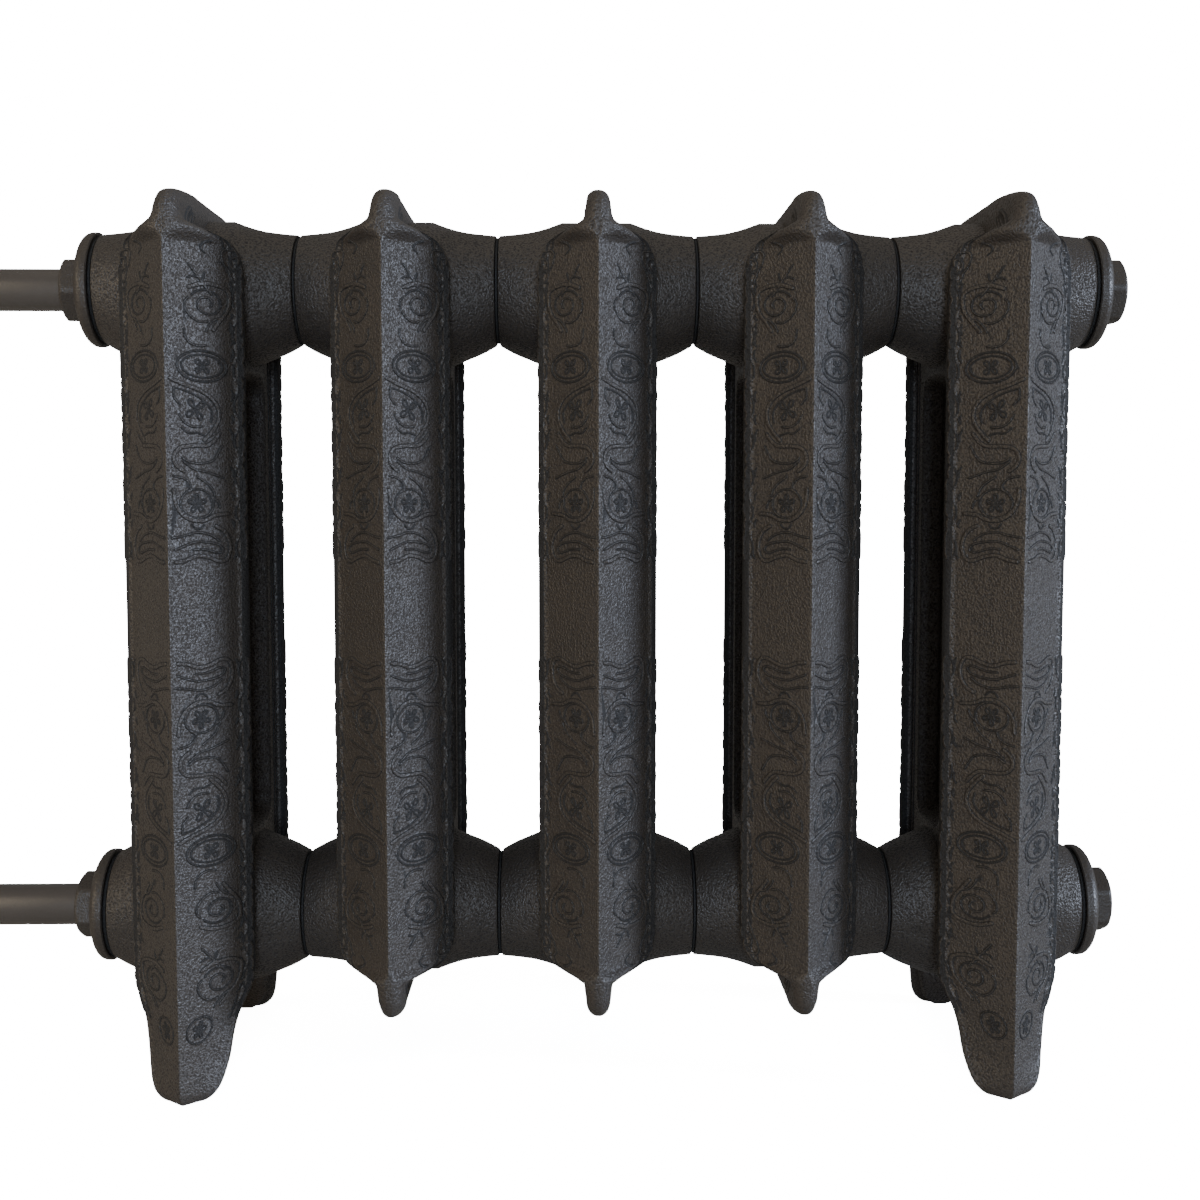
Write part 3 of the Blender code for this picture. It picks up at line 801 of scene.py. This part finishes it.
def casting(name, with_legs):
    """Mesh of an end section (with legs) or a middle section, with its origin halfway up."""
    points, field = column_points(with_legs)
    body = add_object(name, grid_mesh(name, points))
    thinned(body, SECTION_TRIANGLES - FITTED_TRIANGLES)
    steps = [(hub_mesh(1, False), "UNION"), (hub_mesh(-1, with_legs), "UNION")]
    cuts = [duct_mesh(), bore_mesh(1), bore_mesh(-1)]
    if with_legs:
        cuts.append(arch_mesh())
    steps += [(mesh, "DIFFERENCE") for mesh in cuts]
    combine(body, steps)
    thinned(body, SECTION_TRIANGLES)
    smooth(body.data, CASTING_SHARP_ANGLE)
    flatten = body.modifiers.new("flatten", "WEIGHTED_NORMAL")
    flatten.keep_sharp = True
    flatten.weight = FACE_WEIGHT
    settle(body)
    mesh = body.data
    mesh.name = name
    mark_lines_and_painted_shade(mesh, field, with_legs)
    bpy.data.objects.remove(body)
    return mesh


def make_sections(finish):
    meshes = {"end": casting("end_casting", True), "middle": casting("middle_casting", False)}
    names = ["end_section_left", "middle_section_1", "middle_section_2", "middle_section_3",
             "end_section_right"]
    for mesh in meshes.values():
        mesh.materials.append(finish)
    for name in names:
        mesh = meshes[name.split("_")[0]]
        placed(name, mesh, section_centre(name))


# ---------------- placing


def section_centre(name):
    """A section's centre, halfway between its ports."""
    low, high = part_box(name)
    return ((low[0] + high[0]) / 2, 0.0, FOOT_BOTTOM * MM)


def box_centre(name):
    low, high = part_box(name)
    return tuple((low + high) / 2)


def placed(name, mesh, place, turn=0.0):
    """Puts a mesh where it stands for the CAD node of that name."""
    piece = add_object(name + "_look", mesh)
    piece.location = place
    piece.rotation_euler = (0.0, 0.0, turn)
    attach(piece, "root")
    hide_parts(name)
    return piece


# ---------------- fittings, pipes and gaskets


def hexagon_mesh(angle):
    """Wrench hexagon with rounded corners and a chamfered end."""
    turn = 2 * math.pi * np.arange(HEX_POINTS) / HEX_POINTS
    from_flat = np.mod(turn - math.radians(angle) + math.pi / 6, math.pi / 3) - math.pi / 6
    half = HEX_ACROSS_FLATS / 2
    flat = half / np.cos(from_flat)
    edge_length, edge_depth = HEX_FACE_EDGE
    rings = []
    for x in [FITTING_OUTER_FACE - HEX_ROOT, *np.linspace(FITTING_OUTER_FACE - 1, HEX_FACE, 24)]:
        to_end = HEX_FACE - x
        cone = half - HEX_CHAMFER_INSET + HEX_CHAMFER_SLOPE * to_end
        # the smaller of the two, with a soft change from one to the other
        both = np.exp(-flat / HEX_SOFTNESS) + np.exp(-cone / HEX_SOFTNESS)
        radius = np.minimum(-np.log(both) * HEX_SOFTNESS, half * HEX_CORNER)
        radius -= edge_depth * max(0, 1 - to_end / edge_length)
        rings.append(np.stack([np.full(HEX_POINTS, x), radius * np.sin(turn), radius * np.cos(turn)], -1))
    return grid_mesh("hexagon", np.array(rings))


def flange_profile():
    """A fitting's thread, flange rim and rounded front, as points of (x, radius)."""
    tip = FLANGE_FACE - THREAD_LENGTH
    rim = FLANGE_FACE - (END_GASKET_THICKNESS - GASKET_SHOWN)
    taper_length, taper_depth = THREAD_TAPER
    thread = BORE_RADIUS - CLEARANCE
    profile = [(tip, BORE_RADIUS - taper_depth), (tip + taper_length, thread), (rim, thread)]
    profile += [(rim, FLANGE_RADIUS - RIM_EDGE), (rim + RIM_EDGE, FLANGE_RADIUS)]
    for turn in np.linspace(0, math.pi / 2, 16):
        x = FLANGE_FACE + RIM_STRAIGHT + (FLANGE_THICKNESS - RIM_STRAIGHT) * math.sin(turn)
        profile.append((x, FLANGE_RADIUS - RIM_DROP * (1 - math.cos(turn))))
    return profile


def fitting_mesh(name, angle, bored):
    """A plug, or a bushing bored for its pipe, along X from the middle of its hub."""
    body = add_object(name, turned(name, flange_profile(), FLANGE_SEGMENTS))
    steps = [(hexagon_mesh(angle), "UNION")]
    if bored:
        hole = [(HEX_FACE + x, PIPE_RADIUS + wider) for x, wider in HOLE_COUNTERSINK]
        hole = [(0, hole[0][1])] + hole + [(2 * HEX_FACE, hole[-1][1])]
        steps.append((turned("hole", hole, PIPE_SEGMENTS), "DIFFERENCE"))
    combine(body, steps)
    mesh = body.data
    mesh.name = name
    bpy.data.objects.remove(body)
    smooth(mesh, FITTING_SHARP_ANGLE)
    return mesh


def ring_mesh(name, thickness, radius, edge):
    """A flat gasket ring, its rim lowered between two thin lips along the faces."""
    half = thickness / 2
    bore = BORE_RADIUS + 2 * CLEARANCE
    lip = []
    for turn in np.linspace(0, math.pi / 2, GASKET_EDGE_STEPS + 1):
        lip.append((half - edge * (1 - math.sin(turn)), radius - edge * (1 - math.cos(turn))))
    profile = [(-half, bore)] + [(-x, r) for x, r in lip] + lip[::-1] + [(half, bore)]
    mesh = turned(name, profile, GASKET_SEGMENTS, hollow=True)
    smooth(mesh, FITTING_SHARP_ANGLE)
    return mesh


def pipe_mesh(length):
    """Pipe along X from 0 to -length, with an eased cut end."""
    end = -length
    profile = [(end, PIPE_BORE + PIPE_BORE_EDGE)]
    profile += [(end + x, PIPE_RADIUS - inward) for x, inward in PIPE_END_EDGE]
    profile += [(0.0, PIPE_RADIUS), (0.0, PIPE_BORE), (end + PIPE_BORE_EDGE, PIPE_BORE)]
    mesh = turned("pipe", profile, PIPE_SEGMENTS, hollow=True)
    smooth(mesh, FITTING_SHARP_ANGLE)
    return mesh


def make_fittings(fitting_paint, pipe_paint, gasket_black):
    seam = ring_mesh("seam_gasket", SEAM_GASKET_THICKNESS, SEAM_GASKET_RADIUS, SEAM_GASKET_EDGE)
    end_ring = ring_mesh("end_gasket", GASKET_SHOWN, END_GASKET_RADIUS, END_GASKET_EDGE)
    for mesh in (seam, end_ring):
        mesh.materials.append(gasket_black)
    for level in ("top", "bottom"):
        for number in range(1, 5):
            name = f"seam_gasket_{level}_{number}"
            placed(name, seam, box_centre(name))
        for side in ("left", "right"):
            name = f"end_gasket_{side}_{level}"
            x, y, z = box_centre(name)
            inward = (END_GASKET_THICKNESS - GASKET_SHOWN) / 2 * MM
            placed(name, end_ring, (x + inward if side == "left" else x - inward, y, z))
        for kind, side in (("reducing_bushing", "left"), ("blank_plug", "right")):
            name = f"{kind}_{level}"
            mesh = fitting_mesh(name, HEX_ANGLES[f"{side}_{level}"], side == "left")
            mesh.materials.append(fitting_paint)
            low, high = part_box(name)
            centre = box_centre(name)
            if side == "left":
                centre = (low[0] + HEX_FACE * MM, 0.0, centre[2])
                placed(name, mesh, centre, math.pi)
            else:
                centre = (high[0] - HEX_FACE * MM, 0.0, centre[2])
                placed(name, mesh, centre)
    for name in ("supply_pipe", "return_pipe"):
        low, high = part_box(name)
        mesh = pipe_mesh((high[0] - low[0]) / MM)
        mesh.name = name
        mesh.materials.append(pipe_paint)
        placed(name, mesh, (high[0], 0.0, box_centre(name)[2]))


# ---------------- materials

BROWN_BLACK = (0.039, 0.031, 0.024)
DARK_BLACK = (0.033, 0.027, 0.022)
# Colour, its darker patches, roughness, and how strong the grain is
PAINTS = {
    "casting_paint": (BROWN_BLACK, DARK_BLACK, 0.44, 1.0),
    "fitting_paint": (BROWN_BLACK, DARK_BLACK, 0.42, 0.5),
    "pipe_paint": ((0.066, 0.057, 0.050), (0.060, 0.052, 0.045), 0.36, 0.12),
}
# black of the grain's pits, also used for the painted shade along the raised lines, in the caps' corners
# and by the crest leaves
PIT_AND_PAINTED_SHADE_BLACK = (0.005, 0.005, 0.005)
GRAIN_SCALE = 1000.0
LUMP_SCALE = 300.0
PATCH_SCALE = 38.0
PIT_LEVELS = (0.36, 0.50)  # the grain's noise is all pit below the first, and no pit above the second
PIT_SHADE = 0.3
PIT_ROUGHNESS = 0.5
GRAIN_DEPTH = 0.00070
LUMP_DEPTH = 0.00014
LINE_STEP_DEPTH = 0.00025
LINE_STEP_REACH = 0.2
# Painted shade: black covers a raised line's sloping side, full up to the first distance from the
# middle of the slope, gone at the second
LINE_SHADE_INNER = 0.14
LINE_SHADE_OUTER = 0.25
# how dark the painted shade along the raised lines is
LINE_SHADE_DARKNESS = 0.8


class Nodes:
    """A material's node tree with short helpers for building it."""

    def __init__(self, name):
        self.material = bpy.data.materials.new(name)
        self.material.use_nodes = True
        self.tree = self.material.node_tree
        self.shader = self.tree.nodes["Principled BSDF"]

    def add(self, kind, **settings):
        node = self.tree.nodes.new(kind)
        for key, value in settings.items():
            setattr(node, key, value)
        return node

    def link(self, output, socket):
        self.tree.links.new(output, socket)

    def place(self):
        """Object coordinates shifted by a random amount for each piece."""
        coordinates = self.add("ShaderNodeTexCoord")
        info = self.add("ShaderNodeObjectInfo")
        shift = self.add("ShaderNodeVectorMath", operation="SCALE")
        shift.inputs[0].default_value = (1.0, 1.0, 1.0)
        self.link(info.outputs["Random"], shift.inputs["Scale"])
        total = self.add("ShaderNodeVectorMath", operation="ADD")
        self.link(coordinates.outputs["Object"], total.inputs[0])
        self.link(shift.outputs[0], total.inputs[1])
        return total.outputs[0]

    def noise(self, place, scale, detail=2.0, roughness=0.5):
        node = self.add("ShaderNodeTexNoise")
        node.inputs["Scale"].default_value = scale
        node.inputs["Detail"].default_value = detail
        node.inputs["Roughness"].default_value = roughness
        self.link(place, node.inputs["Vector"])
        return node.outputs["Fac"]

    def remap(self, value, low, high, new_low, new_high):
        node = self.add("ShaderNodeMapRange")
        for socket, number in zip(node.inputs[1:5], (low, high, new_low, new_high)):
            socket.default_value = number
        self.link(value, node.inputs[0])
        return node.outputs[0]

    def math(self, operation, a, b):
        node = self.add("ShaderNodeMath", operation=operation)
        for socket, value in zip(node.inputs, (a, b)):
            if isinstance(value, (int, float)):
                socket.default_value = value
            else:
                self.link(value, socket)
        return node.outputs[0]

    def blend(self, factor, first, second):
        node = self.add("ShaderNodeMix", data_type="RGBA")
        sockets = [s for s in node.inputs if s.type == "RGBA"]
        for socket, value in zip(sockets, (first, second)):
            if isinstance(value, tuple):
                socket.default_value = (*value, 1.0)
            else:
                self.link(value, socket)
        self.link(factor, node.inputs["Factor"])
        return [s for s in node.outputs if s.type == "RGBA"][0]

    def bump(self, height, distance, under=None):
        node = self.add("ShaderNodeBump")
        node.inputs["Strength"].default_value = 1.0
        node.inputs["Distance"].default_value = distance
        self.link(height, node.inputs["Height"])
        if under is not None:
            self.link(under, node.inputs["Normal"])
        return node.outputs["Normal"]


def iron_paint(name):
    """Satin paint over grainy cast iron: fine grain, soft unevenness, and painted black shade along the
    relief's raised lines.
    """
    colour, dark, roughness, grain = PAINTS[name]
    made = Nodes(name)
    place = made.place()
    fine = made.noise(place, GRAIN_SCALE, 1.0)
    coarse = made.noise(place, LUMP_SCALE, 2.0)
    broad = made.noise(place, PATCH_SCALE, 3.0)
    base = made.blend(made.remap(broad, 0.3, 0.7, 0.0, 1.0), dark, colour)
    pits = made.remap(fine, *PIT_LEVELS, grain, 0.0)
    pitted = made.blend(made.math("MULTIPLY", pits, PIT_SHADE), base, PIT_AND_PAINTED_SHADE_BLACK)
    near = made.add("ShaderNodeAttribute", attribute_name=LINES_AND_SHADE_ATTRIBUTE).outputs["Fac"]
    # painted shade: black over the raised lines' sloping sides, the caps' corner ground and the ground by
    # the crest leaves
    outer = made.remap(near, GAP_REACH - LINE_SHADE_OUTER, GAP_REACH - LINE_SHADE_INNER, 0.0, 1.0)
    inner = made.remap(near, GAP_REACH + LINE_SHADE_INNER, GAP_REACH + LINE_SHADE_OUTER, 1.0, 0.0)
    outline = made.math("MULTIPLY", outer, made.math("MULTIPLY", inner, LINE_SHADE_DARKNESS))
    made.link(made.blend(outline, pitted, PIT_AND_PAINTED_SHADE_BLACK), made.shader.inputs["Base Color"])
    uneven = made.remap(broad, 0.3, 0.7, roughness - 0.02, roughness + 0.03)
    satin = made.math("ADD", uneven, made.math("MULTIPLY", pits, PIT_ROUGHNESS))
    made.link(made.math("MAXIMUM", satin, outline), made.shader.inputs["Roughness"])
    soft = made.bump(coarse, LUMP_DEPTH * grain)
    line_step = made.remap(near, GAP_REACH - LINE_STEP_REACH, GAP_REACH + LINE_STEP_REACH, 0.0, 1.0)
    crisp = made.bump(line_step, LINE_STEP_DEPTH, under=soft)
    made.link(made.bump(fine, GRAIN_DEPTH * grain, under=crisp), made.shader.inputs["Normal"])
    made.shader.inputs["Specular IOR Level"].default_value = 0.6
    return made.material


def gasket_material():
    made = Nodes("gasket_black")
    place = made.place()
    fine = made.noise(place, 900.0)
    made.link(made.blend(fine, (0.006, 0.006, 0.006), (0.014, 0.014, 0.014)),
              made.shader.inputs["Base Color"])
    made.link(made.remap(fine, 0.3, 0.7, 0.75, 0.9), made.shader.inputs["Roughness"])
    made.link(made.bump(fine, 0.0001), made.shader.inputs["Normal"])
    return made.material


def bare_iron():
    made = Nodes("bare_iron")
    place = made.place()
    fine = made.noise(place, 700.0, 4.0, 0.65)
    rust = made.remap(made.noise(place, 60.0, 4.0), 0.45, 0.7, 0.0, 1.0)
    made.link(made.blend(rust, (0.050, 0.047, 0.045), (0.075, 0.040, 0.024)),
              made.shader.inputs["Base Color"])
    made.link(made.remap(fine, 0.3, 0.7, 0.5, 0.75), made.shader.inputs["Roughness"])
    made.shader.inputs["Metallic"].default_value = 0.7
    made.link(made.bump(fine, 0.0002), made.shader.inputs["Normal"])
    return made.material


# ---------------- camera, light and floor

CAMERA_PLACE = (0.021555, -0.72888, 0.27874)
CAMERA_TILT = -4.18
CAMERA_TURN = -1.05
CAMERA_LENS = 44.67
SENSOR_WIDTH = 36.0
LIT_POINT = (0.0, 0.0, 0.22)  # all lights point at it
KEY_PLACE = (2.94, -0.70, 0.66)
KEY_SPREAD = 11
KEY_STRENGTH = 3.6
KEY_COLOUR = (0.70, 0.80, 1.0)
SOFT_LIGHTS = (  # name, place, width, height, power, colour
    ("front", (0.1, -2.4, 0.5), 0.5, 1.2, 38.0, (0.70, 0.82, 1.0)),
    ("fill_left", (-2.6, -1.55, 0.9), 1.1, 2.0, 38.0, (1.0, 0.83, 0.60)),
    ("above", (0.0, -0.1, 1.5), 1.4, 1.0, 2.8, (1.0, 0.85, 0.64)),
)
WORLD_STRENGTH = 0.23
BACKDROP_WHITE = 17.0  # bright enough to show as pure white
FLOOR_HALF_WIDTH = 9.0
FLOOR_WHITE = 12.0  # the camera sees the floor far brighter than it lights the object
FLOOR_GLOW = 12.5


def make_camera():
    data = bpy.data.cameras.new("camera")
    data.lens = CAMERA_LENS
    data.sensor_width = SENSOR_WIDTH
    data.clip_start = 0.01
    camera = add_object("camera", data)
    camera.location = CAMERA_PLACE
    camera.rotation_euler = (math.radians(90 + CAMERA_TILT), 0.0, math.radians(CAMERA_TURN))
    bpy.context.scene.camera = camera


def aim(light, place):
    light.location = place
    towards = [b - a for a, b in zip(place, LIT_POINT)]
    flat = math.hypot(towards[0], towards[1])
    light.rotation_euler = (math.atan2(flat, -towards[2]), 0.0,
                            math.atan2(towards[1], towards[0]) - math.pi / 2)


def soft_light(name, place, width, height, power, colour):
    data = bpy.data.lights.new(name, "AREA")
    data.shape = "RECTANGLE"
    data.size = width
    data.size_y = height
    data.energy = power
    data.color = colour
    aim(add_object(name, data), place)


def make_lights():
    key = bpy.data.lights.new("key_right", "SUN")
    key.angle = math.radians(KEY_SPREAD)
    key.energy = KEY_STRENGTH
    key.color = KEY_COLOUR
    aim(add_object("key_right", key), KEY_PLACE)
    for sizes in SOFT_LIGHTS:
        soft_light(*sizes)
    world = bpy.data.worlds.new("studio")
    world.use_nodes = True
    nodes = world.node_tree.nodes
    links = world.node_tree.links
    lit = nodes["Background"]
    lit.inputs["Color"].default_value = (1.0, 0.97, 0.93, 1.0)
    lit.inputs["Strength"].default_value = WORLD_STRENGTH
    seen = nodes.new("ShaderNodeBackground")
    seen.inputs["Color"].default_value = (1.0, 1.0, 1.0, 1.0)
    seen.inputs["Strength"].default_value = BACKDROP_WHITE
    path = nodes.new("ShaderNodeLightPath")
    mix = nodes.new("ShaderNodeMixShader")
    links.new(path.outputs["Is Camera Ray"], mix.inputs[0])
    links.new(lit.outputs[0], mix.inputs[1])
    links.new(seen.outputs[0], mix.inputs[2])
    links.new(mix.outputs[0], nodes["World Output"].inputs["Surface"])
    bpy.context.scene.world = world


def make_floor():
    shape = bmesh.new()
    corners = [(x * FLOOR_HALF_WIDTH, y * FLOOR_HALF_WIDTH, 0.0)
               for x, y in ((-1, -1), (1, -1), (1, 1), (-1, 1))]
    shape.faces.new([shape.verts.new(corner) for corner in corners])
    mesh = bpy.data.meshes.new("floor")
    shape.to_mesh(mesh)
    shape.free()
    floor = add_object("floor", mesh)
    made = Nodes("floor_white")
    tone = made.noise(made.place(), 3.0)
    made.link(made.blend(tone, (0.58, 0.55, 0.50), (0.60, 0.57, 0.52)),
              made.shader.inputs["Base Color"])
    made.shader.inputs["Roughness"].default_value = 0.9
    made.shader.inputs["Specular IOR Level"].default_value = 0.0
    lit = made.add("ShaderNodeBsdfDiffuse")
    lit.inputs["Color"].default_value = (FLOOR_WHITE, FLOOR_WHITE, FLOOR_WHITE, 1.0)
    glow = made.add("ShaderNodeEmission")
    glow.inputs["Strength"].default_value = FLOOR_GLOW
    seen = made.add("ShaderNodeAddShader")
    made.link(lit.outputs[0], seen.inputs[0])
    made.link(glow.outputs[0], seen.inputs[1])
    mix = made.add("ShaderNodeMixShader")
    made.link(made.add("ShaderNodeLightPath").outputs["Is Camera Ray"], mix.inputs[0])
    made.link(made.shader.outputs[0], mix.inputs[1])
    made.link(seen.outputs[0], mix.inputs[2])
    made.link(mix.outputs[0], made.tree.nodes["Material Output"].inputs["Surface"])
    mesh.materials.append(made.material)


def main():
    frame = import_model()
    make_camera()
    make_lights()
    make_floor()
    casting_paint, fitting_paint, pipe_paint = (iron_paint(name) for name in PAINTS)
    iron = bare_iron()
    make_sections(casting_paint)
    make_fittings(fitting_paint, pipe_paint, gasket_material())
    for name, node in frame["nodes"].items():
        if name.startswith("nipple"):
            node.data.materials.clear()
            node.data.materials.append(iron)


main()
